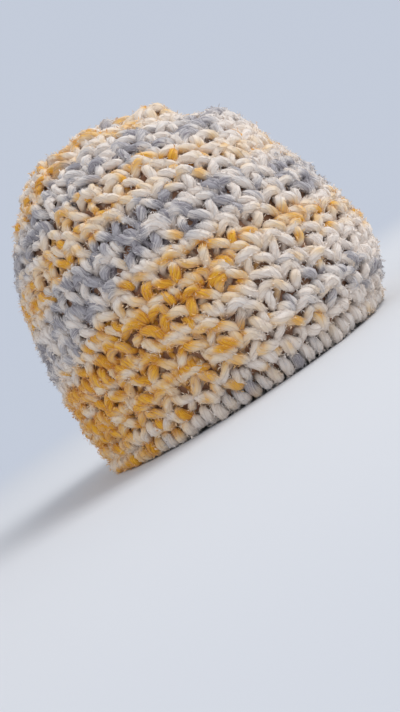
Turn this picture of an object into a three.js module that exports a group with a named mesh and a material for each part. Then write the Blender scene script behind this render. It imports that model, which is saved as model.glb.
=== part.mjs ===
// A crocheted beanie of thick variegated yarn, standing on its rim as it rests by itself.
// Millimetres, +Z up. The origin is the middle of the head opening, on the surface the hat stands on.
// The front, which goes over the forehead, faces -Y.
//
// The fabric is one thick wall worked in rounds. Each round is a raised course with a knob at every
// second stitch, set half a repeat over from the knobs of the round below, as in moss stitch.
// The rounds of the crown have fewer and fewer stitches, and the top is gathered and drawn shut.

import * as THREE from "three";

// The hat's outline
const hatLength = 234; // front to back, over the widest round
const hatWidth = 222; // side to side, over the widest round
const hatHeight = 202; // from the surface to the top of the crown, before its top is drawn in
const widestHeight = 40; // height of the widest round
const rimLength = 213; // front to back, over the rim
const rimWidth = 202; // side to side, over the rim
const rimSetback = 9; // how far the middle of the rim lies behind the middle of the widest round
const crownSetback = 34; // the same for the top of the crown
const crownFullness = 2.12; // 2 gives the crown a plain ellipse, and more a boxier, fuller one

// The fabric
const fabricThickness = 12; // from the crest of a stitch to the inside of the hat
const courseHeight = 10.9; // one round, measured along the fabric
const stitchesAround = 68; // in each round of the side
const courseRelief = 2.6; // depth of the furrow between two rounds
const stitchRelief = 1.5; // depth of the dip between two knobs
const shoulderShare = 0.28; // how far up a course its lower shoulder lies, as a share
const sideCourses = 12; // rounds between the edging and the crown

// The gathered top
const gatherCount = 8; // folds that run down from the top
const gatherDepth = 7; // depth of a fold at the top
const gatherLength = 95; // how far the folds run down the crown, along the fabric
const gatherSway = 0.3; // how unevenly the folds are spread, in radians
const closureRadius = 14; // the dimple where the yarn draws the top shut
const closureDepth = 6;
const fewestStitches = 8; // in the last round, which the yarn draws shut

// Where the loose fabric bulges out, or sinks in, in a soft fold that runs round the hat. Columns:
// degrees round the hat, distance down from the top as a share of the fabric's length, and height
// and reach as shares of the two sizes below.
const bulgeHeight = 7.5;
const bulgeReach = 15; // up and down the fabric
const bulgeStretch = 1.9; // how much further it reaches round the hat than up it
const bulges = [
  [-98, 0.107, 0.5, 0.8],
  [-68, 0.235, 1, 0.75],
  [-66, 0.287, -0.45, 0.6],
  [-64, 0.385, 1.05, 1.1],
  [-60, 0.8, 0.35, 1.4],
  [150, 0.13, 0.4, 1.2],
  [20, 0.33, 0.5, 1.2],
  [75, 0.2, 0.5, 1],
  [112, 0.46, 0.4, 1.3],
];

// The edging, a firm round of tight stitches
const edgingHeight = 9.5;
const edgingSwell = 0.9; // how far its rounded side stands past the fabric
const edgingRest = 3; // how far the flat that it stands on keeps from either side
const edgingKnob = 0.8; // depth of the dip between two stitches of the edging

// Between two pieces that are worked onto each other
const seatGap = 0.3;

const profileSteps = 240; // steps in which the outline is measured
const slopeStep = 0.5; // how far apart the points lie that give the fabric's slope
const turn = 2 * Math.PI;

// The outline, as a list of stations from the rim to the top. Below the widest round the half-widths
// swell along a quarter sine, and above it they close along a quarter superellipse.
function measureOutline() {
  const stations = [];
  const crownRise = hatHeight - widestHeight;
  const fuller = (share) => Math.max(0, share) ** (2 / crownFullness);
  for (let i = 0; i <= profileSteps; i++) {
    const below = Math.min(1, (2 * i) / profileSteps);
    const swell = Math.sin((Math.PI / 2) * below);
    const climb = Math.max(0, (2 * i) / profileSteps - 1) * (Math.PI / 2);
    const close = i === profileSteps ? 0 : fuller(Math.cos(climb));
    stations.push({
      halfWidth: (rimWidth + (hatWidth - rimWidth) * swell) * 0.5 * close,
      halfLength: (rimLength + (hatLength - rimLength) * swell) * 0.5 * close,
      height: widestHeight * below + crownRise * fuller(Math.sin(climb)),
      setback: rimSetback * (1 - swell) + crownSetback * (1 - close),
      along: 0,
    });
  }
  for (let i = 1; i < stations.length; i++) {
    const [a, b] = [stations[i - 1], stations[i]];
    const out = (b.halfWidth + b.halfLength - a.halfWidth - a.halfLength) / 2;
    b.along = a.along + Math.hypot(out, b.height - a.height);
  }
  return stations;
}

const outline = measureOutline();
const fabricLength = outline[outline.length - 1].along;
const crownStart = edgingHeight + sideCourses * courseHeight;

// The station at a distance along the fabric from the rim.
function stationAt(along) {
  const s = Math.min(Math.max(along, 0), fabricLength);
  let i = 1;
  while (outline[i].along < s) i++;
  const [a, b] = [outline[i - 1], outline[i]];
  const t = (s - a.along) / (b.along - a.along);
  const mix = (key) => a[key] + (b[key] - a[key]) * t;
  return {
    halfWidth: mix("halfWidth"),
    halfLength: mix("halfLength"),
    height: mix("height"),
    setback: mix("setback"),
  };
}

// A point of the smooth outer surface.
function surfacePoint(along, angle) {
  const s = stationAt(along);
  const x = s.halfWidth * Math.cos(angle);
  const y = s.halfLength * Math.sin(angle) + s.setback;
  return new THREE.Vector3(x, y, s.height);
}

// The fabric's outward normal, from the slopes round the hat and up it.
function surfaceNormal(along, angle) {
  const low = Math.max(0, Math.min(along, fabricLength - slopeStep) - slopeStep);
  const around = surfacePoint(low, angle + 0.01).sub(surfacePoint(low, angle - 0.01));
  const up = surfacePoint(low + 2 * slopeStep, angle).sub(surfacePoint(low, angle));
  return around.cross(up).normalize();
}

// How far the soft folds stand out: a bell shape round the middle of each.
function bulgeOut(along, angle) {
  const station = stationAt(along);
  const radius = (station.halfWidth + station.halfLength) / 2;
  let out = 0;
  for (const [degrees, down, height, reach] of bulges) {
    const up = (along - fabricLength * (1 - down)) / (bulgeReach * reach);
    const apart = 2 * radius * Math.sin((angle - (degrees / 360) * turn) / 2);
    const round = apart / (bulgeReach * reach * bulgeStretch);
    out += bulgeHeight * height * Math.exp(-up * up - round * round);
  }
  return out;
}

// How far the gathers and the closing dimple pull the fabric in.
function pullIn(along, angle) {
  const toTop = fabricLength - along;
  const reach = Math.max(0, 1 - toTop / gatherLength);
  const fold = 0.5 - 0.5 * Math.cos(gatherCount * (angle + gatherSway * Math.sin(angle)));
  const dimple = Math.exp(-((toTop / closureRadius) ** 2));
  const gathered = gatherDepth * reach * fold * (1 - dimple) + closureDepth * dimple;
  return gathered - bulgeOut(along, angle) * (1 - dimple);
}

// A point of the fabric, a depth under the crests of its outer side.
function fabricPoint(along, angle, depth) {
  const inward = surfaceNormal(along, angle).multiplyScalar(-depth - pullIn(along, angle));
  return surfacePoint(along, angle).add(inward);
}

// A closed ring of points, evenly spaced round the hat.
function ring(count, pointAt) {
  return Array.from({ length: count }, (_, k) => {
    const angle = (k / count) * turn;
    return { angle, point: pointAt(angle, k) };
  });
}

const pole = (point) => [{ angle: 0, point }];

// A closed solid from rings in order, which may differ in their number of points. Each ring is
// joined to the next by always stepping along the ring whose next point comes first round the hat.
// The first and last ring are single points, or else the last ring is joined to the first.
function solidFromRings(rings) {
  const starts = [];
  const positions = [];
  for (const points of rings) {
    starts.push(positions.length / 3);
    for (const { point } of points) positions.push(point.x, point.y, point.z);
  }
  const triangles = [];
  const closes = rings[0].length > 1;
  for (let r = 0; r < rings.length - (closes ? 0 : 1); r++) {
    const next = (r + 1) % rings.length;
    const [lower, upper] = [rings[r], rings[next]];
    const id = (ringIndex, k) => starts[ringIndex] + (k % rings[ringIndex].length);
    const nextAngle = (points, k) => {
      if (points.length === 1 || k >= points.length) return Infinity;
      return k + 1 < points.length ? points[k + 1].angle : turn;
    };
    let [i, j] = [0, 0];
    while (nextAngle(lower, i) < Infinity || nextAngle(upper, j) < Infinity) {
      if (nextAngle(lower, i) <= nextAngle(upper, j)) {
        triangles.push(id(r, i), id(r, i + 1), id(next, j));
        i++;
      } else {
        triangles.push(id(r, i), id(next, j + 1), id(next, j));
        j++;
      }
    }
  }
  const geometry = new THREE.BufferGeometry();
  geometry.setAttribute("position", new THREE.Float32BufferAttribute(positions, 3));
  geometry.setIndex(triangles);
  geometry.computeVertexNormals();
  return geometry;
}

// The outer rings of a run of courses: a furrow, then the two shoulders of the course, whose
// stitches stand out by turns.
function courseRings(from, to, courses, stitchesIn) {
  const rings = [];
  const step = (to - from) / courses;
  for (let c = 0; c < courses; c++) {
    const base = from + c * step;
    const count = stitchesIn(base + step / 2);
    const knobs = (along) =>
      ring(count, (angle, k) => fabricPoint(along, angle, (k + c) % 2 === 0 ? 0 : stitchRelief));
    rings.push(ring(count, (angle) => fabricPoint(base, angle, courseRelief)));
    rings.push(knobs(base + step * shoulderShare));
    rings.push(knobs(base + step * (1 - shoulderShare)));
  }
  return rings;
}

const insideRing = (along, count) =>
  ring(count, (angle) => fabricPoint(along, angle, fabricThickness));

// The side: full rounds, all with the same number of stitches, open below and above.
function makeSide() {
  const from = edgingHeight + seatGap;
  const insideCount = stitchesAround / 2;
  const rings = courseRings(from, crownStart, sideCourses, () => stitchesAround);
  rings.push(ring(stitchesAround, (angle) => fabricPoint(crownStart, angle, courseRelief)));
  const insideSteps = sideCourses / 2;
  for (let i = insideSteps; i >= 0; i--)
    rings.push(insideRing(from + ((crownStart - from) * i) / insideSteps, insideCount));
  return solidFromRings(rings);
}

// The crown: rounds with fewer and fewer stitches, gathered at the top and closed.
function makeCrown() {
  const from = crownStart + seatGap;
  const courses = Math.round((fabricLength - from) / courseHeight);
  const last = fabricLength - courseHeight / 2;
  const stitchesIn = (along) => {
    const share = stationAt(along).halfLength / (hatLength / 2);
    return Math.max(fewestStitches, 2 * Math.round((stitchesAround * share) / 2));
  };
  const inside = [pole(fabricPoint(fabricLength, 0, fabricThickness))];
  for (let i = courses - 1; i >= 0; i--) {
    const along = from + ((last - from) * i) / courses;
    inside.push(insideRing(along, Math.max(fewestStitches, stitchesIn(along) / 2)));
  }
  const outside = courseRings(from, last, courses, stitchesIn);
  const top = pole(fabricPoint(fabricLength, 0, courseRelief));
  return solidFromRings([...inside, ...outside, top]);
}

// The edging: a firm cord-like round whose underside is flat where the hat stands on it.
function makeEdging() {
  const count = 2 * stitchesAround;
  const sideRing = (share, outward) =>
    ring(count, (angle, k) => {
      const knob = k % 2 === 0 ? 0 : edgingKnob;
      const swell = edgingSwell - knob;
      const depth = outward ? -swell : fabricThickness + swell;
      return fabricPoint(edgingHeight * share, angle, depth);
    });
  const seatRing = (depth) => ring(count, (angle) => fabricPoint(edgingHeight, angle, depth));
  const restRing = (inset) =>
    ring(count, (angle) => {
      const x = (rimWidth / 2 - inset) * Math.cos(angle);
      const y = (rimLength / 2 - inset) * Math.sin(angle) + rimSetback;
      return new THREE.Vector3(x, y, 0);
    });
  return solidFromRings([
    restRing(edgingRest),
    sideRing(0.3, true),
    sideRing(0.7, true),
    seatRing(courseRelief),
    seatRing(fabricThickness),
    sideRing(0.7, false),
    sideRing(0.3, false),
    restRing(fabricThickness - edgingRest),
  ]);
}

function yarn(colour) {
  return new THREE.MeshStandardMaterial({ color: colour, roughness: 0.95, metalness: 0 });
}

function piece(name, geometry, material) {
  const mesh = new THREE.Mesh(geometry, material);
  mesh.name = name;
  return mesh;
}

const hat = new THREE.Group();
hat.add(piece("crown", makeCrown(), yarn(0xdcd3c6)));
hat.add(piece("side", makeSide(), yarn(0xd9c39a)));
hat.add(piece("edging", makeEdging(), yarn(0xc9c0ba)));

export default hat;
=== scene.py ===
"""A crocheted beanie of thick variegated yarn, standing on its rim.

Every round of stitches is one closed loop of yarn. Its course through a repeat of the stitch is
charted as a few points, carried round the hat and swept with a soft round section. The yarn is
cream plied with strands that are dyed mustard and slate in turn, so the colour runs in bands.
"""

import math

import bpy
import numpy as np
from mathutils import Matrix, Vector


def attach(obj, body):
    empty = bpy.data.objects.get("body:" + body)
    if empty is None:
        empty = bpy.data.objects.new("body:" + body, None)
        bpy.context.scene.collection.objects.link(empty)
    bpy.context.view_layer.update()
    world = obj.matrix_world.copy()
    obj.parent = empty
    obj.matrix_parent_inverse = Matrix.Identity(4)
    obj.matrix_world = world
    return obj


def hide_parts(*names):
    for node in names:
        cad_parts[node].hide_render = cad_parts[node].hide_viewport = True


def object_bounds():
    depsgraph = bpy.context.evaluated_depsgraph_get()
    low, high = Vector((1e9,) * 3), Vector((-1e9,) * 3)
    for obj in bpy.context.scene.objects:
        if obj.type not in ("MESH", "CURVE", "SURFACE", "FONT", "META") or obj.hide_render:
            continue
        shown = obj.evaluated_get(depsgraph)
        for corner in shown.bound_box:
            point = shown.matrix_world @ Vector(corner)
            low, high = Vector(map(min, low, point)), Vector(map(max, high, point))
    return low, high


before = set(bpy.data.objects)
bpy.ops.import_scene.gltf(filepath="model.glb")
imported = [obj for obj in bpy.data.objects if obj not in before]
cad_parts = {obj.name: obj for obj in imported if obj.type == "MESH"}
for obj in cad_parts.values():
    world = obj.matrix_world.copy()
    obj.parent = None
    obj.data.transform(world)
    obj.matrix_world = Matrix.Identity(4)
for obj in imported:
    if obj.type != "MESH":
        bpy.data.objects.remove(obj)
cad_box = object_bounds()

bl_info = {
    "name": "Crochet Beanie",
    "version": (1, 0, 0),
    "blender": (4, 5, 0),
    "location": "3D View > Sidebar > Beanie",
    "description": "Works a moss stitch beanie in variegated yarn, round by round",
    "category": "Object",
}

MM = 0.001
TURN = 2 * math.pi
LOW, HIGH = (np.array(corner) for corner in cad_box)
LENGTH = float(HIGH[1] - LOW[1])
WIDTH = float(HIGH[0] - LOW[0])

# How finely the pieces are made: stations up the outline, steps of the curve between two points
# of a chart, points round the yarn, its plies, and columns and rows of the core.
STATIONS = 1201
CURVE_STEPS = 4
YARN_SIDES = 7
PLIES = 5
CORE_COLUMNS = 96
CORE_ROWS = 48

# The core: how far it keeps from the rim and from the top, how deep its two faces lie under the
# crests of the stitches, its mottle and how much lighter than the painted shadow colour that gets.
# The core fills the view through the holes between the stitches, and its darkness is painted shade.
CORE_FOOT = 2 * MM
CORE_TOP = 1 * MM
CORE_DEPTHS = (6.4 * MM, 8.0 * MM)
CORE_MOTTLE = 160.0
CORE_LIGHT = 2.2

# Pairs of rounds in the two pieces of the side. The crown has the pairs above them.
LOWER_PAIRS = (1, 2, 3)
UPPER_PAIRS = (4, 5, 6)

# Where the loose fabric bulges out, or sinks in, in a soft fold that runs round the hat. Columns:
# degrees round the hat, distance down from the top as a share of the fabric's length, and height
# and reach as shares of the bulge's own.
BULGES = [
    (-98, 0.107, 0.50, 0.80),
    (-68, 0.235, 1.00, 0.75),
    (-66, 0.287, -0.45, 0.60),
    (-64, 0.385, 1.05, 1.10),
    (-60, 0.800, 0.35, 1.40),
    (150, 0.130, 0.40, 1.20),
    (20, 0.330, 0.50, 1.20),
    (75, 0.200, 0.50, 1.00),
    (112, 0.460, 0.40, 1.30),
]

# The course of the yarn through one repeat of a round, as it shows on the right side of the hat.
# Columns: place along the round in repeats, place up the fabric in pairs of rounds, distance out
# from the middle of the fabric in yarn diameters, and thickness as a share of the yarn's own.

# A round of tents: the chain arches over the top, and the two legs of the stitch spread below it.
TENT_ROUND = [
    (-0.50, -0.10, -0.28, 0.86),
    (-0.42, 0.04, 0.08, 0.90),
    (-0.28, 0.13, 0.44, 1.00),
    (-0.10, 0.17, 0.62, 1.08),
    (0.08, 0.13, 0.58, 1.05),
    (0.20, 0.03, 0.34, 0.95),
    (0.22, -0.10, 0.00, 0.88),
    (0.08, -0.28, -0.28, 0.88),
    (-0.12, -0.44, -0.28, 0.88),
    (-0.26, -0.47, 0.02, 0.92),
    (-0.24, -0.34, 0.38, 1.00),
    (-0.17, -0.20, 0.52, 1.02),
    (-0.08, -0.07, 0.30, 0.92),
    (-0.01, 0.03, -0.10, 0.85),
    (0.07, -0.03, 0.20, 0.90),
    (0.18, -0.12, 0.46, 1.02),
    (0.34, -0.24, 0.53, 1.05),
    (0.50, -0.36, 0.34, 0.98),
    (0.60, -0.46, -0.02, 0.88),
    (0.61, -0.34, -0.28, 0.86),
]

# A round of slants: three strands side by side that all run down to the right.
SLANT_ROUND = [
    (-0.46, -0.50, -0.26, 0.86),
    (-0.36, -0.55, 0.12, 0.92),
    (-0.22, -0.62, 0.46, 1.02),
    (-0.06, -0.71, 0.55, 1.06),
    (0.08, -0.82, 0.34, 0.98),
    (0.14, -0.93, -0.08, 0.86),
    (0.06, -0.80, -0.30, 0.86),
    (-0.02, -0.60, -0.24, 0.86),
    (0.02, -0.51, 0.10, 0.92),
    (0.12, -0.60, 0.48, 1.02),
    (0.22, -0.72, 0.57, 1.06),
    (0.32, -0.84, 0.34, 0.98),
    (0.37, -0.94, -0.08, 0.86),
    (0.34, -0.80, -0.30, 0.86),
    (0.34, -0.58, -0.24, 0.86),
    (0.37, -0.50, 0.08, 0.90),
    (0.42, -0.60, 0.34, 0.96),
    (0.47, -0.72, 0.38, 0.98),
    (0.51, -0.84, 0.10, 0.90),
    (0.53, -0.90, -0.24, 0.86),
    (0.54, -0.70, -0.30, 0.86),
]

# One wrap of the edging. Columns as above, but the place up the fabric is in edging heights.
EDGE_WRAP = [
    (-0.50, 1.04, -0.20, 0.86),
    (-0.44, 0.96, 0.26, 0.94),
    (-0.26, 0.72, 0.60, 1.08),
    (-0.02, 0.44, 0.68, 1.10),
    (0.22, 0.20, 0.38, 1.00),
    (0.34, 0.12, -0.20, 0.88),
    (0.34, 0.25, -0.65, 0.85),
    (0.36, 0.62, -0.70, 0.85),
    (0.42, 0.92, -0.50, 0.82),
]

# Rings of the swept yarn in one repeat of each chart.
TENT_RINGS = 42
SLANT_RINGS = 44
EDGE_RINGS = 26

# How much of the unevenness falls to each column of a chart.
SHAKE = (1.0, 1.0, 1.6, 1.4)

# Metres of yarn from one pair of rounds to the next, and before the edging, so that the dye of one
# round doesn't look like the dye of another.
PAIR_RUN = 3.1
EDGE_RUN = 0.5

# Seeds of the unevenness: of the first pair of rounds, and of the edging.
PAIR_SEED = 100
EDGE_SEED = 3

# In the crown the repeats of a round grow fewer with its girth, measured this far below its base
# line as a share of a pair's height, and this far from the top at the least. They are never fewer
# than the last of these.
GIRTH_AT = 0.4
GIRTH_MARGIN = 2 * MM
LEAST_REPEATS = 4

# The yarn keeps this far from the ends of the outline, and is laid out as if the hat were never
# less than this round.
END_MARGIN = 0.2 * MM
LEAST_GIRTH = 3 * MM

# Where the dye changes, counted in rounds up from the edging. Columns: round, the share of the
# yarn's girth that is dyed mustard and that is dyed slate round most of the hat, and the same two
# over the forehead.
DYE_BANDS = [
    (-1.0, 0.04, 0.20, 0.02, 0.22),
    (0.3, 0.18, 0.16, 0.10, 0.20),
    (1.2, 0.40, 0.02, 0.10, 0.06),
    (2.6, 0.52, 0.00, 0.05, 0.20),
    (3.6, 0.52, 0.00, 0.04, 0.40),
    (4.6, 0.58, 0.00, 0.05, 0.10),
    (6.0, 0.68, 0.00, 0.10, 0.00),
    (7.4, 0.64, 0.00, 0.34, 0.00),
    (8.4, 0.30, 0.10, 0.28, 0.00),
    (9.4, 0.05, 0.44, 0.08, 0.22),
    (11.4, 0.03, 0.50, 0.04, 0.42),
    (12.4, 0.34, 0.08, 0.20, 0.10),
    (13.2, 0.44, 0.00, 0.28, 0.00),
    (14.6, 0.36, 0.04, 0.24, 0.04),
    (15.6, 0.05, 0.46, 0.04, 0.36),
    (17.4, 0.03, 0.50, 0.04, 0.42),
    (18.4, 0.34, 0.10, 0.34, 0.08),
    (20.6, 0.42, 0.00, 0.36, 0.00),
    (21.8, 0.14, 0.22, 0.12, 0.22),
    (23.0, 0.34, 0.04, 0.34, 0.04),
]

# The bands of dye arch up where the wearer's right temple would be. Degrees round the hat to the
# middle of the arch, its rise in rounds, and its reach as a share of the radius.
ARCH_MIDDLE = 213
ARCH_RISE = 4.0
ARCH_REACH = 1.1

# Degrees round the hat to the middle of the forehead, the cosine of the angle from there at which
# both pairs of columns count the same, and how suddenly one gives way to the other.
FOREHEAD = 283
FOREHEAD_EDGE = 0.55
FOREHEAD_BLEND = 8

# The bands also rise and sink a little on their way round. How far in rounds, and the angle in
# radians at which they lie lowest.
BAND_SWING = 0.6
BAND_LOWEST = 2.2

# The mustard is strongest at one side. Degrees round the hat to there, its mean strength and how
# far it swings from that.
MUSTARD_SIDE = 190
MUSTARD_MEAN = 0.86
MUSTARD_SWING = 0.22

# Both dyes swell and fade in waves: how many go once round the hat, how far they slant in radians a
# round, and how strongly each dye follows them.
DYE_WAVES = (3, 5, 8, 13)
WAVE_SLANT = 0.7
MUSTARD_WAVE = 0.25
SLATE_WAVE = 0.18

# The least and the most of the yarn's girth that a dye takes, and how widely the noise that places
# the dye spreads round one half.
LEAST_DYE = 0.002
MOST_DYE = 0.8
NOISE_SPREAD = 0.075

# The noise in the yarn: fibres across it and along a metre of it, and patches of dye along a metre
# and across it.
FIBRE_SCALE = 4.0
FIBRE_RUN = 22.0
DYE_SCALE = 46.0
PATCH_GIRTH = 0.08

# How far apart the noises of the two dyes lie in their fourth dimension, and the distance that the
# relief of the plies and the fibres stands for.
NOISE_APART = 3.7
RELIEF = 0.9 * MM

# How far the fibres unsettle the edge of each dye.
MINGLING = {"mustard": 0.18, "slate": 0.26}

# Soft steps from nought to one: of the fibre noise, of a dye's noise past its level, of the level
# of the mustard, and of the place on a ply, which gives the painted shade of the grooves between
# the plies. The last ends the step into the painted shade deep in the fabric, as a share of the
# fabric's thickness.
DARK_FIBRES = (0.62, 0.36)
DUSKY_FIBRES = (0.42, 0.70)
DYED = (-0.06, 0.09)
STAINED = (-0.16, 0.03)
TINTED = (0.62, 0.45)
GROOVE_SHADE = (0.55, 0.0)
SHADOW_END = 0.68

# How much of a second colour is mixed into the first at the most.
BLUSH_SHARE = 0.36
TINT_SHARE = 0.5
HONEY_SHARE = 0.62
SILVER_SHARE = 0.75
VIOLET_SHARE = 0.6
# The last four are painted shade: in the grooves between the plies, deep in the fabric, and how far
# that shade takes on the ochre of the mustard and the violet of the slate.
GROOVE_SHADE_SHARE = 0.18
SHADOW_SHARE = 0.86
WARM_SHADOW = 0.45
DUSKY_SHADOW = 0.7

YARN_COLOURS = "Cream Blush Honey Mustard Ochre Silver Slate Violet Hollow".split()

# The finishes of the stitches and of the loose fibres. The painted shade starts at a share of the
# fabric's thickness. The loose fibres' colour fades towards the colour below as painted light, for
# the light that passes through them: pale is how far.
FINISHES = {
    "Stitch yarn": dict(ply_depth=0.6, bump=0.7, shadow_start=0.16, pale=0.0, sheen=0.30),
    "Loose fibres": dict(ply_depth=0.0, bump=0.0, shadow_start=0.28, pale=0.16, sheen=0.25),
}
PAINTED_LIGHT_COLOUR = (0.97, 0.95, 0.93, 1.0)

# The share of the loose fibres that each piece has, and the seed that scatters them.
FIBRES = {
    "side_lower": (0.38, 21),
    "side_upper": (0.34, 22),
    "crown": (0.20, 23),
    "edging": (0.08, 24),
}

# A loose fibre starts no deeper in the fabric than this share of its thickness. It slants out by
# its lift and strays to any side, then bends and turns back. Lengths are shares of the usual one.
FIBRE_DEPTH = 0.30
FIBRE_LIFT = (0.1, 1.0)
FIBRE_STRAY = 0.4
FIBRE_BEND = 0.5
FIBRE_RETURN = 0.3
FIBRE_LENGTHS = (0.5, 1.3)
FIBRE_FLOOR = 0.05 * MM

# The camera: degrees round the hat, above the floor and of roll, metres to what it looks at, and
# focal length in millimetres. It looks at a height over the origin, moved right and down in its
# own frame.
AZIMUTH = -50
ELEVATION = 3
ROLL = -33.2
DISTANCE = 0.801
FOCAL_LENGTH = 60.7
LOOK_HEIGHT = 0.075
LOOK_RIGHT = 0.0035
LOOK_DOWN = 0.0459

# The lamps: name, place, size of the square and power. They face a point in the hat.
LAMPS = [
    ("window_light", (0.9, -1.5, 2.1), 1.6, 46.0),
    ("fill_light", (-1.7, 0.1, 0.9), 1.4, 3.5),
]
LAMP_TARGET = (0, 0, 0.08)

# Half the side of the floor, and the distances between which it fades into the sky.
FLOOR_REACH = 6.0
FLOOR_FADE = (0.30, 1.10)


def length_of(name, description, default):
    """A property for a length in metres."""
    return bpy.props.FloatProperty(
        name=name, description=description, default=default, unit="LENGTH", subtype="DISTANCE"
    )


def count_of(name, description, default):
    """A property for a whole number."""
    return bpy.props.IntProperty(name=name, description=description, default=default, min=1)


def number_of(name, description, default):
    """A property for a plain number."""
    return bpy.props.FloatProperty(name=name, description=description, default=default)


def share_of(name, description, default):
    """A property for a share between nothing and all."""
    return bpy.props.FloatProperty(
        name=name, description=description, default=default, min=0.0, max=1.0, subtype="FACTOR"
    )


def colour_of(name, description, default):
    """A property for a colour."""
    return bpy.props.FloatVectorProperty(
        name=name, description=description, default=default, size=3, min=0, max=1, subtype="COLOR"
    )


class BeanieShape(bpy.types.PropertyGroup):
    """The outline of the hat and the folds of its crown."""

    length: length_of("Length", "Front to back over the widest round", LENGTH)
    width: length_of("Width", "Side to side over the widest round", WIDTH)
    rise: length_of("Height", "From the floor to the top, before it is drawn in", 202 * MM)
    widest_height: length_of("Widest Height", "Height of the widest round", 40 * MM)
    rim_length: length_of("Rim Length", "Front to back over the rim", 213 * MM)
    rim_width: length_of("Rim Width", "Side to side over the rim", 202 * MM)
    rim_setback: length_of("Rim Setback", "How far back the rim's middle lies", 9 * MM)
    crown_setback: length_of("Crown Setback", "How far back the crown's top lies", 34 * MM)
    crown_fullness: number_of("Crown Fullness", "2 is a plain ellipse, and more is boxier", 2.12)
    thickness: length_of("Thickness", "From a stitch's crest to the inside", 12 * MM)
    edging_height: length_of("Edging Height", "Height of the last round", 9.5 * MM)
    gather_count: count_of("Gathers", "Folds that run down from the top", 8)
    gather_depth: length_of("Gather Depth", "Depth of a fold at the top", 7 * MM)
    gather_length: length_of("Gather Length", "How far the folds run down", 95 * MM)
    gather_sway: bpy.props.FloatProperty(
        name="Gather Sway",
        description="How unevenly the folds are spread",
        default=0.3,
        subtype="ANGLE",
    )
    bulge_height: length_of("Bulge Height", "How far a soft fold stands out", 7.5 * MM)
    bulge_reach: length_of("Bulge Reach", "How far a soft fold reaches up the fabric", 15 * MM)
    bulge_stretch: number_of("Bulge Stretch", "How much further it reaches round", 1.9)
    closure_radius: length_of("Closure Radius", "Reach of the dimple in the top", 14 * MM)
    closure_depth: length_of("Closure Depth", "Depth of the dimple in the top", 6 * MM)


class BeanieYarn(bpy.types.PropertyGroup):
    """The yarn and how it is worked."""

    diameter: length_of("Diameter", "Thickness of the yarn", 6.1 * MM)
    repeats: count_of("Repeats", "Repeats of the stitch round the side", 34)
    pair_height: length_of("Pair Height", "Two rounds, measured up the fabric", 21.8 * MM)
    drift: share_of("Drift", "How far each pair of rounds leans over, in repeats", 0.12)
    unevenness: share_of("Unevenness", "How much the stitches differ from each other", 0.06)
    twist_pitch: length_of("Twist Pitch", "Length of yarn in which its plies turn once", 38 * MM)
    edge_wraps: count_of("Edge Wraps", "Wraps of yarn round the rim", 84)
    fibre_count: count_of("Fibres", "Loose fibres that stand off the yarn", 90000)
    fibre_length: length_of("Fibre Length", "Length of a loose fibre", 3.1 * MM)
    fibre_radius: length_of("Fibre Radius", "Half the thickness of a loose fibre", 0.03 * MM)


class BeanieColours(bpy.types.PropertyGroup):
    """The colours of the yarn and of the room."""

    cream: colour_of("Cream", "The undyed plies", (0.93, 0.845, 0.765))
    blush: colour_of("Blush", "The undyed plies where they are darker", (0.70, 0.53, 0.40))
    honey: colour_of("Honey", "The undyed plies where mustard has stained them", (0.90, 0.62, 0.27))
    mustard: colour_of("Mustard", "The mustard dye", (0.94, 0.51, 0.045))
    ochre: colour_of("Ochre", "The mustard dye where it is darker", (0.70, 0.28, 0.02))
    silver: colour_of("Silver", "The undyed plies where slate has stained them", (0.74, 0.70, 0.67))
    slate: colour_of("Slate", "The slate dye", (0.46, 0.435, 0.45))
    violet: colour_of("Violet", "The slate dye where it is darker", (0.11, 0.08, 0.11))
    # Painted shade: the colour that yarn deep between the stitches is darkened towards. In the
    # mustard it turns towards the ochre, in the slate towards the violet, and it also colours the
    # core.
    hollow: colour_of("Hollow", "Yarn that lies deep between the stitches", (0.20, 0.105, 0.06))
    floor: colour_of("Floor", "The floor near the hat", (0.70, 0.71, 0.73))
    sky: colour_of("Sky", "The pale backdrop all round", (0.55, 0.60, 0.70))
    room: colour_of("Room", "The light that comes from all round", (0.545, 0.57, 0.625))


SETTINGS = {
    "beanie_shape": BeanieShape,
    "beanie_yarn": BeanieYarn,
    "beanie_colours": BeanieColours,
}


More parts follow.
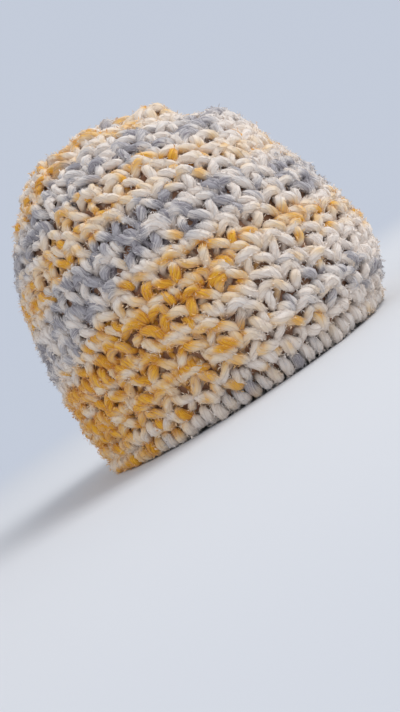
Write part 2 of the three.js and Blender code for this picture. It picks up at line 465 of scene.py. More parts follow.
class Outline:
    """The smooth hat that the yarn is worked over, in metres.

    Up to the widest round the half-widths swell along a quarter of a sine, and above it they close
    along a quarter of a superellipse, the cosine and the sine of the climb both raised to two over
    the fullness. The stations run from the rim to the top, and each keeps its distance along the
    fabric, so that a round can be placed by measuring up the fabric."""

    def __init__(self, shape):
        self.shape = shape
        part = np.linspace(0, 2, STATIONS)
        below = np.minimum(part, 1)
        swell = np.sin(math.pi / 2 * below)
        climb = np.maximum(part - 1, 0) * math.pi / 2
        width = shape.rim_width + (shape.width - shape.rim_width) * swell
        length = shape.rim_length + (shape.length - shape.rim_length) * swell
        power = 2 / shape.crown_fullness
        close = np.maximum(np.cos(climb), 0) ** power
        close[-1] = 0
        self.half_width = width / 2 * close
        self.half_length = length / 2 * close
        rise = shape.rise - shape.widest_height
        self.height = shape.widest_height * below + rise * np.sin(climb) ** power
        self.setback = shape.rim_setback * (1 - swell) + shape.crown_setback * (1 - close)
        out = np.diff(self.half_width + self.half_length) / 2
        step = np.hypot(out, np.diff(self.height))
        self.along = np.concatenate([[0], np.cumsum(step)])
        self.total = float(self.along[-1])

    def girth(self, along):
        """Length round the hat at a distance along the fabric: a circle of the mean half-width."""
        mean = (self.half_width + self.half_length) / 2
        return TURN * np.interp(along, self.along, mean)

    def smooth(self, along, angle):
        """Points of the smooth surface: an ellipse at each station, set back by its setback."""
        x = np.interp(along, self.along, self.half_width) * np.cos(angle)
        y = np.interp(along, self.along, self.half_length) * np.sin(angle)
        y = y + np.interp(along, self.along, self.setback)
        z = np.interp(along, self.along, self.height)
        return np.stack([x, y, z + np.zeros_like(x)], axis=-1)

    def normal(self, along, angle):
        """Outward unit normals: the slope round the hat crossed with the slope up it."""
        step = 0.5 * MM
        turn = 0.01
        low = np.clip(along, step, self.total - 2 * step) - step
        around = self.smooth(low, angle + turn) - self.smooth(low, angle - turn)
        up = self.smooth(low + 2 * step, angle) - self.smooth(low, angle)
        return unit(np.cross(around, up))

    def bulge(self, along, angle):
        """How far the soft folds stand out: the sum of a bell shape round the middle of each."""
        shape = self.shape
        radius = self.girth(along) / TURN
        out = 0.0
        for degrees, down, height, reach in BULGES:
            wide = shape.bulge_reach * reach
            up = (along - self.total * (1 - down)) / wide
            apart = 2 * radius * np.sin((angle - math.radians(degrees)) / 2)
            bell = np.exp(-(up**2) - (apart / (wide * shape.bulge_stretch)) ** 2)
            out = out + shape.bulge_height * height * bell
        return out

    def pull(self, along, angle):
        """How far the fabric is drawn in: a cosine wave of folds that grows towards the top, and
        a bell-shaped dimple in the middle of it, less the soft folds that stand out."""
        shape = self.shape
        to_top = self.total - along
        reach = np.maximum(0, 1 - to_top / shape.gather_length)
        swayed = angle + shape.gather_sway * np.sin(angle)
        fold = 0.5 - 0.5 * np.cos(shape.gather_count * swayed)
        dimple = np.exp(-((to_top / shape.closure_radius) ** 2))
        gathered = shape.gather_depth * reach * fold * (1 - dimple) + shape.closure_depth * dimple
        return gathered - self.bulge(along, angle) * (1 - dimple)

    def place(self, along, angle, depth):
        """Points of the fabric, a depth under the crests of its stitches."""
        inward = depth + self.pull(along, angle)
        return self.smooth(along, angle) - self.normal(along, angle) * inward[..., None]


def unit(vectors):
    """Vectors scaled to length one."""
    return vectors / np.maximum(np.linalg.norm(vectors, axis=-1, keepdims=True), 1e-12)


def through_points(points, steps):
    """A closed Catmull-Rom curve through the points, with equal steps between each two: a cubic
    whose slope at a point is half the difference of its two neighbours."""
    before, after = np.roll(points, 1, axis=0), np.roll(points, -1, axis=0)
    last = np.roll(points, -2, axis=0)
    t = (np.arange(steps) / steps)[None, :, None]
    a, b, c, d = (p[:, None, :] for p in (before, points, after, last))
    curve = b + 0.5 * t * (c - a + t * (2 * a - 5 * b + 4 * c - d + t * (3 * (b - c) + d - a)))
    return curve.reshape(-1, points.shape[1])


def closed_grid(rows, columns):
    """Quads over rows of points that close on themselves both ways, as four arrays of corners."""
    index = np.arange(rows * columns).reshape(rows, columns)
    after = np.roll(index, -1, axis=0)
    return [index, after, np.roll(after, -1, axis=1), np.roll(index, -1, axis=1)]


def yarn_loop(outline, yarn, chart, base, repeats, unit_height, lean, rings, rng, start):
    """One closed loop of yarn round the hat, as points, quads and attributes.

    The chart's points are repeated round the hat with a little unevenness and joined by a smooth
    curve, which is measured out in equal rings. Each ring is a circle across the curve. The flat
    chart is then laid on the hat: along the round to an angle, up to a distance along the fabric,
    and out to a depth. The plies attribute is the cosine and the sine of the place round the
    twisted yarn, and the metres of yarn up to there."""
    chart = np.array(chart)
    points = np.tile(chart, (repeats, 1))
    points[:, 0] += np.repeat(np.arange(repeats), len(chart))
    shake = rng.normal(0, 1, points.shape)
    shake = (shake + np.roll(shake, 1, axis=0) + np.roll(shake, -1, axis=0)) / math.sqrt(3)
    points += shake * yarn.unevenness * np.array(SHAKE)
    nominal = float(outline.girth(base)) / repeats
    points *= np.array([nominal, unit_height, yarn.diameter, 1.0])
    span = nominal * repeats
    # The curve is closed, so the step from its last point to its first goes once round the hat.
    once_round = np.array([span, 0, 0, 0])
    extended = np.concatenate([points[-2:] - once_round, points, points[:3] + once_round])
    curve = through_points(extended, CURVE_STEPS)
    curve = curve[2 * CURVE_STEPS : (2 + len(points)) * CURVE_STEPS + 1]
    step = np.linalg.norm(np.diff(curve[:, :3], axis=0), axis=1)
    measured = np.concatenate([[0], np.cumsum(step)])
    total = repeats * rings
    at = np.arange(total) / total * measured[-1]
    path = np.stack([np.interp(at, measured, curve[:, i]) for i in range(4)], axis=-1)
    centre = path[:, :3].reshape(repeats, rings, 3)
    # The wrap in the tangents at the ends of the round is mended before the frames are carried.
    flat = centre.reshape(-1, 3)
    ahead = np.concatenate([flat[1:], flat[:1] + once_round[:3]])
    behind = np.concatenate([flat[-1:] - once_round[:3], flat[:-1]])
    tangent = unit(ahead - behind).reshape(centre.shape)
    side, other = frames_along(tangent)
    theta = np.arange(YARN_SIDES) / YARN_SIDES * TURN
    radius = path[:, 3].reshape(repeats, rings, 1, 1) * yarn.diameter / 2
    ring = np.cos(theta)[:, None] * side[:, :, None] + np.sin(theta)[:, None] * other[:, :, None]
    offset = ring * radius
    across = centre[:, :, None, :] + offset
    along = np.clip(base + across[..., 1], END_MARGIN, outline.total - END_MARGIN)
    local = np.maximum(outline.girth(along), LEAST_GIRTH) / repeats
    place_along_round = centre[:, :, None, 0] / nominal + offset[..., 0] / local
    angle = TURN * (place_along_round + lean) / repeats
    depth = outline.shape.thickness / 2 - across[..., 2]
    spots = outline.place(along, angle, depth)
    # The lowest strands are pressed flat where the hat stands on them.
    spots[..., 2] = np.maximum(spots[..., 2], 0)
    run = start + at.reshape(repeats, rings, 1) + np.zeros(YARN_SIDES)
    twisted = theta[None, None, :] - TURN * run / yarn.twist_pitch
    plies = np.stack([np.cos(twisted), np.sin(twisted), run], axis=-1)
    quads = np.stack(closed_grid(total, YARN_SIDES), axis=-1)
    # The inset is how deep under the crests a point lies, as a share of the fabric's thickness. It
    # sets how much painted shade the point gets.
    inset = np.clip(depth / outline.shape.thickness, 0, 1)
    middles = spots.mean(axis=2, keepdims=True)
    line = middles.reshape(-1, 3)
    heading = np.repeat(unit(np.roll(line, -1, axis=0) - line), YARN_SIDES, axis=0)
    return {
        "points": spots.reshape(-1, 3),
        "heading": heading,
        "outward": unit(spots - middles).reshape(-1, 3),
        "quads": quads.reshape(-1, 4),
        "plies": plies.reshape(-1, 3),
        "inset": inset.ravel(),
        "angle": (angle % TURN).ravel(),
        "along": along.ravel(),
        "end": start + measured[-1],
    }


def frames_along(tangent):
    """Two unit vectors across the path at every ring. The first is carried along each repeat with
    the least turning, and the turn missing at its end is spread evenly over the repeat."""
    count = tangent.shape[1]
    side = np.empty_like(tangent)
    start = np.zeros_like(tangent[:, 0])
    start[:, 1] = 1.0
    side[:, 0] = unit(start - (start * tangent[:, 0]).sum(-1, keepdims=True) * tangent[:, 0])
    for i in range(1, count):
        before = side[:, i - 1]
        side[:, i] = unit(before - (before * tangent[:, i]).sum(-1, keepdims=True) * tangent[:, i])
    other = np.cross(tangent, side)
    goal = np.roll(side[:, 0], -1, axis=0)
    turn = np.arctan2((goal * other[:, -1]).sum(-1), (goal * side[:, -1]).sum(-1))
    spread = turn[:, None] * (np.arange(count) / count)[None, :]
    cos, sin = np.cos(spread)[..., None], np.sin(spread)[..., None]
    return side * cos + other * sin, other * cos - side * sin


def joined(loops):
    """Several loops as one: points and attributes one after another, quads renumbered."""
    starts = np.cumsum([0] + [len(loop["points"]) for loop in loops[:-1]])
    whole = {key: np.concatenate([loop[key] for loop in loops]) for key in loops[0] if key != "end"}
    whole["quads"] = np.concatenate([loop["quads"] + s for loop, s in zip(loops, starts)])
    return whole


def make_mesh(name, points, faces, attributes, material, smooth=True):
    """A mesh object from arrays of points, faces and attributes of its points."""
    mesh = bpy.data.meshes.new(name)
    size = faces.shape[1]
    mesh.vertices.add(len(points))
    mesh.vertices.foreach_set("co", points.astype(np.float32).ravel())
    mesh.loops.add(faces.size)
    mesh.loops.foreach_set("vertex_index", faces.astype(np.int32).ravel())
    mesh.polygons.add(len(faces))
    mesh.polygons.foreach_set("loop_start", np.arange(len(faces), dtype=np.int32) * size)
    mesh.polygons.foreach_set("loop_total", np.full(len(faces), size, dtype=np.int32))
    mesh.polygons.foreach_set("use_smooth", np.full(len(faces), smooth))
    for key, values in attributes.items():
        kind = "FLOAT_VECTOR" if values.ndim == 2 else "FLOAT"
        field = "vector" if values.ndim == 2 else "value"
        layer = mesh.attributes.new(key, kind, "POINT")
        layer.data.foreach_set(field, values.astype(np.float32).ravel())
    mesh.update()
    mesh.validate()
    mesh.materials.append(material)
    piece = bpy.data.objects.new(name, mesh)
    bpy.context.scene.collection.objects.link(piece)
    return piece


def dye_levels(outline, yarn, along, angle):
    """The level that the yarn's slow noise has to pass for each dye to show.

    The share of dyed yarn follows the bands of the chart, with a bell-shaped arch, and blends
    between its two pairs of columns by a logistic curve of the cosine round the hat. Both dyes
    swell and fade by a sum of sines. A share becomes a level by the logistic curve as well, because
    the noise spreads evenly round one half."""
    rounds = (along - outline.shape.edging_height) / (yarn.pair_height / 2)
    rounds = rounds + BAND_SWING * np.cos(angle - BAND_LOWEST)
    apart = 2 * np.sin((angle - math.radians(ARCH_MIDDLE)) / 2) / ARCH_REACH
    rounds = rounds + ARCH_RISE * (1 - np.exp(-(apart**2)))
    chart, *columns = np.array(DYE_BANDS).T
    bands = [np.interp(rounds, chart, column) for column in columns]
    facing = np.cos(angle - math.radians(FOREHEAD))
    blend = 1 / (1 + np.exp(FOREHEAD_BLEND * (FOREHEAD_EDGE - facing)))
    mustard, slate = (a + (b - a) * blend for a, b in zip(bands[:2], bands[2:]))
    turned = angle - math.radians(MUSTARD_SIDE)
    mustard = mustard * (MUSTARD_MEAN + MUSTARD_SWING * np.cos(turned))
    # Each wave's size is the sine of a number of its own.
    wave = sum(
        math.sin(1.7 * k + 0.4) * np.sin(k * (angle + WAVE_SLANT * rounds)) for k in DYE_WAVES
    )
    shares = {
        "mustard": mustard * (1 + MUSTARD_WAVE * wave),
        "slate": slate * (1 + SLATE_WAVE * wave),
    }
    levels = {}
    for dye, share in shares.items():
        share = np.clip(share, LEAST_DYE, MOST_DYE)
        levels[dye] = 0.5 + NOISE_SPREAD * np.log((1 - share) / share)
    return levels


def work_rounds(name, outline, yarn, pairs, node, material):
    """Works pairs of rounds, each a round of slants below a round of tents, into one piece."""
    shape = outline.shape
    full = float(outline.girth(shape.widest_height))
    loops = []
    for pair in pairs:
        rng = np.random.default_rng(PAIR_SEED + pair)
        base = shape.edging_height + pair * yarn.pair_height
        repeats = yarn.repeats
        if pair > UPPER_PAIRS[-1]:
            middle = min(base - GIRTH_AT * yarn.pair_height, outline.total - GIRTH_MARGIN)
            share = min(1.0, float(outline.girth(middle)) / full)
            repeats = max(LEAST_REPEATS, round(yarn.repeats * share))
        lean = yarn.drift * pair
        run = PAIR_RUN * pair
        for chart, rings in ((SLANT_ROUND, SLANT_RINGS), (TENT_ROUND, TENT_RINGS)):
            loop = yarn_loop(
                outline, yarn, chart, base, repeats, yarn.pair_height, lean, rings, rng, run
            )
            loops.append(loop)
            run = loop["end"]
    return finish_yarn(name, outline, yarn, loops, node, material)


def finish_yarn(name, outline, yarn, loops, node, material):
    """Puts loops of yarn into one piece with its dyes, and rides it on the hat."""
    whole = joined(loops)
    dyes = dye_levels(outline, yarn, whole["along"], whole["angle"])
    attributes = {"plies": whole["plies"], "inset": whole["inset"], **dyes}
    piece = make_mesh(name, whole["points"], whole["quads"], attributes, material)
    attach(piece, "root")
    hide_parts(node)
    return whole, attributes


def tease_fibres(name, yarn, worked, material):
    """Draws loose fibres out of the yarn of a piece, as thin closed slivers bent in the middle.

    A fibre starts just under the yarn's surface at a point picked evenly from the outer side of the
    fabric. It leaves along the yarn, at a slant to the outside, and bends over at half its length.
    Its four corners are its two ends and the two sides of its middle."""
    share, seed = FIBRES[name]
    rng = np.random.default_rng(seed)
    count = round(yarn.fibre_count * share)
    whole, attributes = worked
    root = rng.choice(np.flatnonzero(whole["inset"] < FIBRE_DEPTH), count)
    heading = whole["heading"][root]
    outward = whole["outward"][root]
    sign = rng.choice([-1.0, 1.0], (count, 1))
    lift = rng.uniform(*FIBRE_LIFT, (count, 1))
    away = unit(heading * sign + outward * lift + rng.normal(0, FIBRE_STRAY, (count, 3)))
    half = yarn.fibre_length * rng.uniform(*FIBRE_LENGTHS, (count, 1)) / 2
    start = whole["points"][root] - outward * yarn.fibre_radius * 2
    middle = start + away * half
    bend = unit(away + rng.normal(0, FIBRE_BEND, (count, 3)) - outward * FIBRE_RETURN)
    end = middle + bend * half
    across = unit(np.cross(away, rng.normal(0, 1, (count, 3)))) * yarn.fibre_radius
    deep = unit(np.cross(away, across)) * yarn.fibre_radius / 2
    corners = [start - deep, middle + across + deep, middle - across + deep, end - deep]
    spots = np.stack(corners, axis=1).reshape(-1, 3)
    spots[:, 2] = np.maximum(spots[:, 2], FIBRE_FLOOR)
    sliver = np.array([(0, 1, 2), (0, 3, 1), (0, 2, 3), (1, 3, 2)])
    faces = (np.arange(count)[:, None, None] * 4 + sliver).reshape(-1, 3)
    attributes = {key: np.repeat(values[root], 4, axis=0) for key, values in attributes.items()}
    # The loose fibres stand at the surface, so no painted shade darkens them.
    attributes["inset"] = np.zeros(len(spots))
    piece = make_mesh(f"{name}_fibres", spots, faces, attributes, material, smooth=False)
    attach(piece, "root")


def feed(tree, node, inputs):
    """Gives inputs of a node, by name or number, their own values or links from other sockets."""
    for key, value in inputs.items():
        if isinstance(value, bpy.types.NodeSocket):
            tree.links.new(value, node.inputs[key])
        else:
            node.inputs[key].default_value = value


def add_node(tree, kind, place, inputs=None, **properties):
    """Adds a node at a place in the tree, sets its own properties and feeds its inputs."""
    node = tree.nodes.new(kind)
    node.location = place
    for key, value in properties.items():
        setattr(node, key, value)
    feed(tree, node, inputs or {})
    return node


def new_material(name):
    """A material with its node tree and its shader."""
    material = bpy.data.materials.new(name)
    material.use_nodes = True
    return material, material.node_tree, material.node_tree.nodes["Principled BSDF"]


def maths(tree, operation, place, *values):
    """Adds a Math node whose inputs are numbers or sockets."""
    inputs = dict(enumerate(values))
    return add_node(tree, "ShaderNodeMath", place, inputs, operation=operation).outputs[0]


def attribute(tree, place, name):
    """Adds a node that reads an attribute of the mesh."""
    return add_node(tree, "ShaderNodeAttribute", place, attribute_name=name).outputs


def mix_colour(tree, factor, first, second, place):
    """Adds a mix of two colours by a factor. The node has these sockets by number alone."""
    inputs = {0: factor, 6: first, 7: second}
    return add_node(tree, "ShaderNodeMix", place, inputs, data_type="RGBA").outputs[2]


def combine(tree, place, *parts):
    """Adds a vector of three sockets."""
    return add_node(tree, "ShaderNodeCombineXYZ", place, dict(enumerate(parts))).outputs[0]


def end_with_mix(tree, factor, first, second, end):
    """Ends the tree with a mix of two shaders by a factor."""
    inputs = {0: factor, 1: first.outputs[0], 2: second.outputs[0]}
    node = add_node(tree, "ShaderNodeMixShader", (400, 0), inputs)
    feed(tree, tree.nodes[end], {"Surface": node.outputs[0]})


def smooth_step(tree, value, low, high, place):
    """Adds a soft step from nought at low to one at high."""
    inputs = {"Value": value, "From Min": low, "From Max": high}
    node = add_node(tree, "ShaderNodeMapRange", place, inputs, interpolation_type="SMOOTHSTEP")
    return node.outputs["Result"]


def dyed_yarn_group():
    """The colour and relief of variegated yarn, as a node group.

    The plies attribute holds the cosine and sine of the place round the twisted yarn, and the run
    of yarn in metres. Noise stretched along the run gives the fibres, and the plies are the size of
    a sine round the yarn. A dye shows where a slow noise along the run, unsettled by the fibres,
    passes the level that the dye's own attribute gives. Shade is painted into the colour deep in
    the fabric and in the grooves between the plies."""
    tree = bpy.data.node_groups.new("Variegated yarn", "ShaderNodeTree")
    face = tree.interface
    for name in YARN_COLOURS:
        face.new_socket(name, in_out="INPUT", socket_type="NodeSocketColor")
    for name in ("Fibre Scale", "Dye Scale", "Ply Depth", "Hollow Start"):
        face.new_socket(name, in_out="INPUT", socket_type="NodeSocketFloat")
    face.new_socket("Color", in_out="OUTPUT", socket_type="NodeSocketColor")
    face.new_socket("Height", in_out="OUTPUT", socket_type="NodeSocketFloat")
    given = add_node(tree, "NodeGroupInput", (-1800, 0)).outputs
    result = add_node(tree, "NodeGroupOutput", (1400, 0))

    plies = attribute(tree, (-1600, 300), "plies")["Vector"]
    x, y, metres = add_node(tree, "ShaderNodeSeparateXYZ", (-1400, 300), {0: plies}).outputs
    run = maths(tree, "MULTIPLY", (-1200, 150), metres, FIBRE_RUN)
    along = combine(tree, (-1000, 250), x, y, run)
    inputs = {"Vector": along, "Scale": given["Fibre Scale"], "Detail": 3.0, "Roughness": 0.6}
    streak = add_node(tree, "ShaderNodeTexNoise", (-800, 350), inputs).outputs["Fac"]

    # The plies: the sine of half the turn round the yarn, times the number of plies.
    turn = maths(tree, "ARCTAN2", (-1000, 0), y, x)
    half_turns = maths(tree, "MULTIPLY", (-840, 0), turn, PLIES / 2)
    lobes = maths(tree, "ABSOLUTE", (-520, 0), maths(tree, "SINE", (-680, 0), half_turns))

    # The dye comes and goes along the yarn, and not quite at the same place on every ply.
    slow = maths(tree, "MULTIPLY", (-1200, -250), metres, given["Dye Scale"])
    small_x = maths(tree, "MULTIPLY", (-1200, -400), x, PATCH_GIRTH)
    small_y = maths(tree, "MULTIPLY", (-1200, -550), y, PATCH_GIRTH)
    patch_at = combine(tree, (-1000, -350), slow, small_x, small_y)
    loose = maths(tree, "SUBTRACT", (-640, 350), streak, 0.5)
    masks = {}
    levels = {}
    stains = {}
    for row, (dye, mingling) in enumerate(MINGLING.items()):
        low = -500 - 400 * row
        inputs = {"Vector": patch_at, "W": NOISE_APART * row, "Scale": 1.0, "Detail": 1.0}
        patch = add_node(tree, "ShaderNodeTexNoise", (-800, low), inputs, noise_dimensions="4D")
        levels[dye] = attribute(tree, (-800, low - 200), dye)["Fac"]
        shaken = maths(tree, "MULTIPLY", (-600, low + 100), loose, mingling)
        amount = maths(tree, "ADD", (-450, low), patch.outputs["Fac"], shaken)
        over = maths(tree, "SUBTRACT", (-300, low), amount, levels[dye])
        masks[dye] = smooth_step(tree, over, *DYED, (-150, low))
        stains[dye] = smooth_step(tree, over, *STAINED, (-150, low - 200))

    darker = smooth_step(tree, streak, *DARK_FIBRES, (-360, 150))
    rosy = maths(tree, "MULTIPLY", (-200, 150), darker, BLUSH_SHARE)
    undyed = mix_colour(tree, rosy, given["Cream"], given["Blush"], (0, 300))
    # Each dye has bled a little way into the undyed plies beside it.
    tint = smooth_step(tree, levels["mustard"], *TINTED, (-200, 800))
    tint = maths(tree, "MULTIPLY", (-40, 800), tint, TINT_SHARE)
    golden = maths(tree, "MULTIPLY", (-200, 500), stains["mustard"], HONEY_SHARE)
    golden = maths(tree, "MAXIMUM", (-40, 500), golden, tint)
    undyed = mix_colour(tree, golden, undyed, given["Honey"], (120, 400))
    grey = maths(tree, "MULTIPLY", (-40, 650), stains["slate"], SILVER_SHARE)
    undyed = mix_colour(tree, grey, undyed, given["Silver"], (120, 550))
    warm = mix_colour(tree, darker, given["Mustard"], given["Ochre"], (0, 50))
    dusky = smooth_step(tree, streak, *DUSKY_FIBRES, (-360, -250))
    dusky = maths(tree, "MULTIPLY", (-200, -250), dusky, VIOLET_SHARE)
    cool = mix_colour(tree, dusky, given["Slate"], given["Violet"], (0, -200))
    coloured = mix_colour(tree, masks["mustard"], undyed, warm, (250, 200))
    coloured = mix_colour(tree, masks["slate"], coloured, cool, (450, 100))

    # Painted shade: deep in the fabric and in the grooves between its plies, the colour is darkened
    # towards the shadow colour as if shade fell there.
    inset = attribute(tree, (250, -400), "inset")["Fac"]
    deep = smooth_step(tree, inset, given["Hollow Start"], SHADOW_END, (450, -300))
    deep = maths(tree, "MULTIPLY", (600, -300), deep, SHADOW_SHARE)
    groove_shade = smooth_step(tree, lobes, *GROOVE_SHADE, (250, -150))
    groove_shade = maths(tree, "MULTIPLY", (420, -150), groove_shade, GROOVE_SHADE_SHARE)
    shaded = maths(tree, "MAXIMUM", (740, -200), deep, groove_shade)
    # The painted shade turns ochre in the mustard and violet in the slate.
    warmth = maths(tree, "MULTIPLY", (600, -450), stains["mustard"], WARM_SHADOW)
    hollow = mix_colour(tree, warmth, given["Hollow"], given["Ochre"], (740, -450))
    dusk = maths(tree, "MULTIPLY", (600, -650), stains["slate"], DUSKY_SHADOW)
    hollow = mix_colour(tree, dusk, hollow, given["Violet"], (740, -650))
    final = mix_colour(tree, shaded, coloured, hollow, (900, 50))

    relief = maths(tree, "MULTIPLY", (250, 500), lobes, given["Ply Depth"])
    height = maths(tree, "ADD", (450, 500), relief, streak)
    feed(tree, result, {"Color": final, "Height": height})
    return tree


def yarn_material(name, colours):
    """A soft matt yarn, made once: the variegated group drives its colour, with its painted shade,
    and its relief. The loose fibres fade towards a pale colour as painted light, and a sheen stands
    in for the fine fibres that catch the light at its edges."""
    if name in bpy.data.materials:
        return bpy.data.materials[name]
    finish = FINISHES[name]
    material, tree, shader = new_material(name)
    group = bpy.data.node_groups.get("Variegated yarn") or dyed_yarn_group()
    inputs = {colour: (*getattr(colours, colour.lower()), 1.0) for colour in YARN_COLOURS}
    inputs |= {"Fibre Scale": FIBRE_SCALE, "Dye Scale": DYE_SCALE}
    inputs |= {"Ply Depth": finish["ply_depth"], "Hollow Start": finish["shadow_start"]}
    yarn = add_node(tree, "ShaderNodeGroup", (-500, 0), inputs, node_tree=group)
    colour, height = yarn.outputs
    inputs = {"Strength": finish["bump"], "Distance": RELIEF, "Height": height}
    relief = add_node(tree, "ShaderNodeBump", (-250, -250), inputs)
    # Painted light: the loose fibres fade towards a pale colour, for the light that passes through
    # them.
    colour = mix_colour(tree, finish["pale"], colour, PAINTED_LIGHT_COLOUR, (-250, 100))
    feed(tree, shader, {"Base Color": colour, "Normal": relief.outputs["Normal"]})
    feed(tree, shader, {"Roughness": 0.92, "Specular IOR Level": 0.15})
    feed(tree, shader, {"Sheen Weight": finish["sheen"], "Sheen Roughness": 0.5})
    return material


def settings():
    """The shape, yarn and colours that the user has set."""
    scene = bpy.context.scene
    return scene.beanie_shape, scene.beanie_yarn, scene.beanie_colours


def shaded_core_material(colours):
    """The middle of the fabric, mottled between two browns: the painted shadow colour and a lighter
    copy of it. It fills the holes between the stitches with painted shade.
    """
    material, tree, shader = new_material("Shaded core")
    place = add_node(tree, "ShaderNodeTexCoord", (-800, 0)).outputs["Object"]
    inputs = {"Vector": place, "Scale": CORE_MOTTLE}
    mottle = add_node(tree, "ShaderNodeTexNoise", (-600, 0), inputs).outputs["Fac"]
    light = (*(CORE_LIGHT * c for c in colours.hollow), 1.0)
    shade = mix_colour(tree, mottle, light, (*colours.hollow, 1.0), (-300, 0))
    feed(tree, shader, {"Base Color": shade, "Roughness": 0.95})
    return material


def prepare():
    """The outline, the yarn's settings, and the materials of the stitches and of the fibres."""
    shape, yarn, colours = settings()
    stitches, fuzz = (yarn_material(name, colours) for name in FINISHES)
    return Outline(shape), yarn, stitches, fuzz


class BEANIE_OT_side(bpy.types.Operator):
    """Works the full rounds of the side in moss stitch"""

    bl_idname = "beanie.side"
    bl_label = "Work the Side"

    def execute(self, context):
        outline, yarn, stitches, fuzz = prepare()
        lower = work_rounds("side_lower_rounds", outline, yarn, LOWER_PAIRS, "side", stitches)
        upper = work_rounds("side_upper_rounds", outline, yarn, UPPER_PAIRS, "side", stitches)
        tease_fibres("side_lower", yarn, lower, fuzz)
        tease_fibres("side_upper", yarn, upper, fuzz)
        return {"FINISHED"}


class BEANIE_OT_crown(bpy.types.Operator):
    """Works the rounds of the crown, with fewer and fewer stitches, up to the closure"""

    bl_idname = "beanie.crown"
    bl_label = "Work the Crown"

    def execute(self, context):
        outline, yarn, stitches, fuzz = prepare()
        last = int((outline.total - outline.shape.edging_height) / yarn.pair_height)
        pairs = range(UPPER_PAIRS[-1] + 1, last + 1)
        rounds = work_rounds("crown_rounds", outline, yarn, pairs, "crown", stitches)
        tease_fibres("crown", yarn, rounds, fuzz)
        return {"FINISHED"}


class BEANIE_OT_edging(bpy.types.Operator):
    """Wraps the rim with the slanted strands of the edging"""

    bl_idname = "beanie.edging"
    bl_label = "Work the Edging"

    def execute(self, context):
        outline, yarn, stitches, fuzz = prepare()
        rng = np.random.default_rng(EDGE_SEED)
        height = outline.shape.edging_height
        loop = yarn_loop(
            outline, yarn, EDGE_WRAP, 0.0, yarn.edge_wraps, height, 0.0, EDGE_RINGS, rng, EDGE_RUN
        )
        wraps = finish_yarn("edging_wraps", outline, yarn, [loop], "edging", stitches)
        tease_fibres("edging", yarn, wraps, fuzz)
        return {"FINISHED"}


class BEANIE_OT_core(bpy.types.Operator):
    """Lays the middle of the fabric behind the stitches, dark with painted shade"""

    bl_idname = "beanie.core"
    bl_label = "Lay the Core"

    def execute(self, context):
        shape, _, colours = settings()
        outline = Outline(shape)
        around = np.arange(CORE_COLUMNS) / CORE_COLUMNS * TURN
        outer = np.linspace(CORE_FOOT, outline.total - CORE_TOP, CORE_ROWS)
        stations = np.concatenate([outer, outer[::-1]])
        depths = np.repeat(CORE_DEPTHS, CORE_ROWS)
        along, angle = np.meshgrid(stations, around, indexing="ij")
        depth = np.repeat(depths[:, None], CORE_COLUMNS, axis=1)
        points = outline.place(along, angle, depth)
        # The first corner stays and the others swap over, so that the faces point out of the wall.
        first, second, third, fourth = closed_grid(len(stations), CORE_COLUMNS)
        quads = np.stack([first, fourth, third, second], axis=-1).reshape(-1, 4)
        material = shaded_core_material(colours)
        piece = make_mesh("fabric_core", points.reshape(-1, 3), quads, {}, material)
        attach(piece, "root")
        return {"FINISHED"}


class BEANIE_OT_stage(bpy.types.Operator):
    """Sets the pale floor, the soft lights and the camera"""

    bl_idname = "beanie.stage"
    bl_label = "Set the Stage"

    def execute(self, context):
        colours = settings()[2]
        scene = context.scene
        bpy.ops.mesh.primitive_plane_add(size=2 * FLOOR_REACH)
        floor = context.object
        floor.name = "floor"
        floor.data.materials.append(backdrop_material(colours))
        scene.world = daylight(colours)
        for name, place, size, power in LAMPS:
            add_lamp(scene, name, place, size, power)
        add_camera(scene)
        scene.view_settings.view_transform = "Standard"
        return {"FINISHED"}


def backdrop_material(colours):
    """A matt floor. Far from the hat it takes the colour of the sky, so that no horizon shows."""
    material, tree, shader = new_material("Pale backdrop")
    feed(tree, shader, {"Base Color": (*colours.floor, 1.0)})
    feed(tree, shader, {"Roughness": 0.9, "Specular IOR Level": 0.1})
    place = add_node(tree, "ShaderNodeTexCoord", (-900, -300)).outputs["Object"]
    away = add_node(tree, "ShaderNodeVectorMath", (-700, -300), {0: place}, operation="LENGTH")
    far = smooth_step(tree, away.outputs["Value"], *FLOOR_FADE, (-500, -300))
    sky = {"Color": (*colours.sky, 1.0)}
    glow = add_node(tree, "ShaderNodeEmission", (-300, -500), sky)
    end_with_mix(tree, far, shader, glow, "Material Output")
    return material


def daylight(colours):
    """A world that the camera sees as the sky. The light that reaches the hat from it is less
    blue, as the room warms it."""
    world = bpy.data.worlds.new("Soft daylight")
    world.use_nodes = True
    tree = world.node_tree
    room = tree.nodes["Background"]
    feed(tree, room, {"Color": (*colours.room, 1.0)})
    sky = add_node(tree, "ShaderNodeBackground", (0, -200), {"Color": (*colours.sky, 1.0)})
    seen = add_node(tree, "ShaderNodeLightPath", (0, 200)).outputs["Is Camera Ray"]
    end_with_mix(tree, seen, room, sky, "World Output")
    return world


def transform(right, up, back, place):
    """A transform whose columns are three axes and a place."""
    matrix = np.eye(4)
    matrix[:3] = np.stack([right, up, back, place], axis=1)
    return Matrix(matrix.tolist())


def add_lamp(scene, name, place, size, power):
    """Adds a square area light at a place, turned to face the hat."""
    light = bpy.data.lights.new(name, "AREA")
    light.size = size
    light.energy = power
    lamp = bpy.data.objects.new(name, light)
    scene.collection.objects.link(lamp)
    back = unit(np.array(place) - np.array(LAMP_TARGET))
    right = unit(np.cross([0.0, 0.0, 1.0], back))
    lamp.matrix_world = transform(right, np.cross(back, right), back, place)


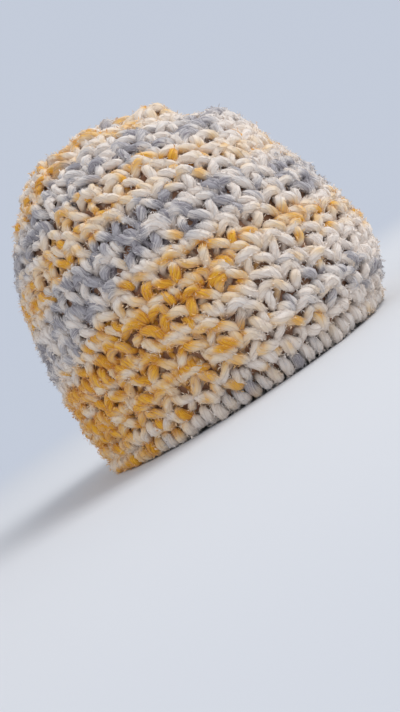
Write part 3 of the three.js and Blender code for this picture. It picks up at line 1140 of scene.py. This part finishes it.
def add_camera(scene):
    """Adds the camera on a sphere round what it looks at, rolled about its line of sight, as the
    photographed hat leans."""
    camera = bpy.data.objects.new("camera", bpy.data.cameras.new("camera"))
    scene.collection.objects.link(camera)
    camera.data.lens = FOCAL_LENGTH
    azimuth = math.radians(AZIMUTH)
    elevation = math.radians(ELEVATION)
    roll = math.radians(ROLL)
    flat = math.cos(elevation)
    back = np.array([math.sin(azimuth) * flat, -math.cos(azimuth) * flat, math.sin(elevation)])
    level = np.array([math.cos(azimuth), math.sin(azimuth), 0.0])
    upright = np.cross(back, level)
    right = level * math.cos(roll) + upright * math.sin(roll)
    up = upright * math.cos(roll) - level * math.sin(roll)
    target = np.array([0.0, 0.0, LOOK_HEIGHT]) + right * LOOK_RIGHT - up * LOOK_DOWN
    camera.matrix_world = transform(right, up, back, target + back * DISTANCE)
    scene.camera = camera


class BEANIE_PT_panel(bpy.types.Panel):
    """Lists the steps of making the beanie"""

    bl_idname = "BEANIE_PT_panel"
    bl_label = "Crochet Beanie"
    bl_space_type = "VIEW_3D"
    bl_region_type = "UI"
    bl_category = "Beanie"

    def draw(self, context):
        layout = self.layout
        for operator in OPERATORS:
            layout.operator(operator.bl_idname)
        for key, group in SETTINGS.items():
            box = layout.box()
            for name in group.__annotations__:
                box.prop(getattr(context.scene, key), name)


OPERATORS = (
    BEANIE_OT_side,
    BEANIE_OT_crown,
    BEANIE_OT_edging,
    BEANIE_OT_core,
    BEANIE_OT_stage,
)

CLASSES = (*SETTINGS.values(), *OPERATORS, BEANIE_PT_panel)


def register():
    """Registers the settings, the operators and the panel."""
    for each in CLASSES:
        bpy.utils.register_class(each)
    for key, group in SETTINGS.items():
        setattr(bpy.types.Scene, key, bpy.props.PointerProperty(type=group))


def unregister():
    """Takes them away again, in the opposite order."""
    for key in SETTINGS:
        delattr(bpy.types.Scene, key)
    for each in reversed(CLASSES):
        bpy.utils.unregister_class(each)


def main():
    """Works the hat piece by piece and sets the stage."""
    register()
    bpy.ops.beanie.side()
    bpy.ops.beanie.crown()
    bpy.ops.beanie.edging()
    bpy.ops.beanie.core()
    bpy.ops.beanie.stage()


if __name__ == "__main__":
    main()
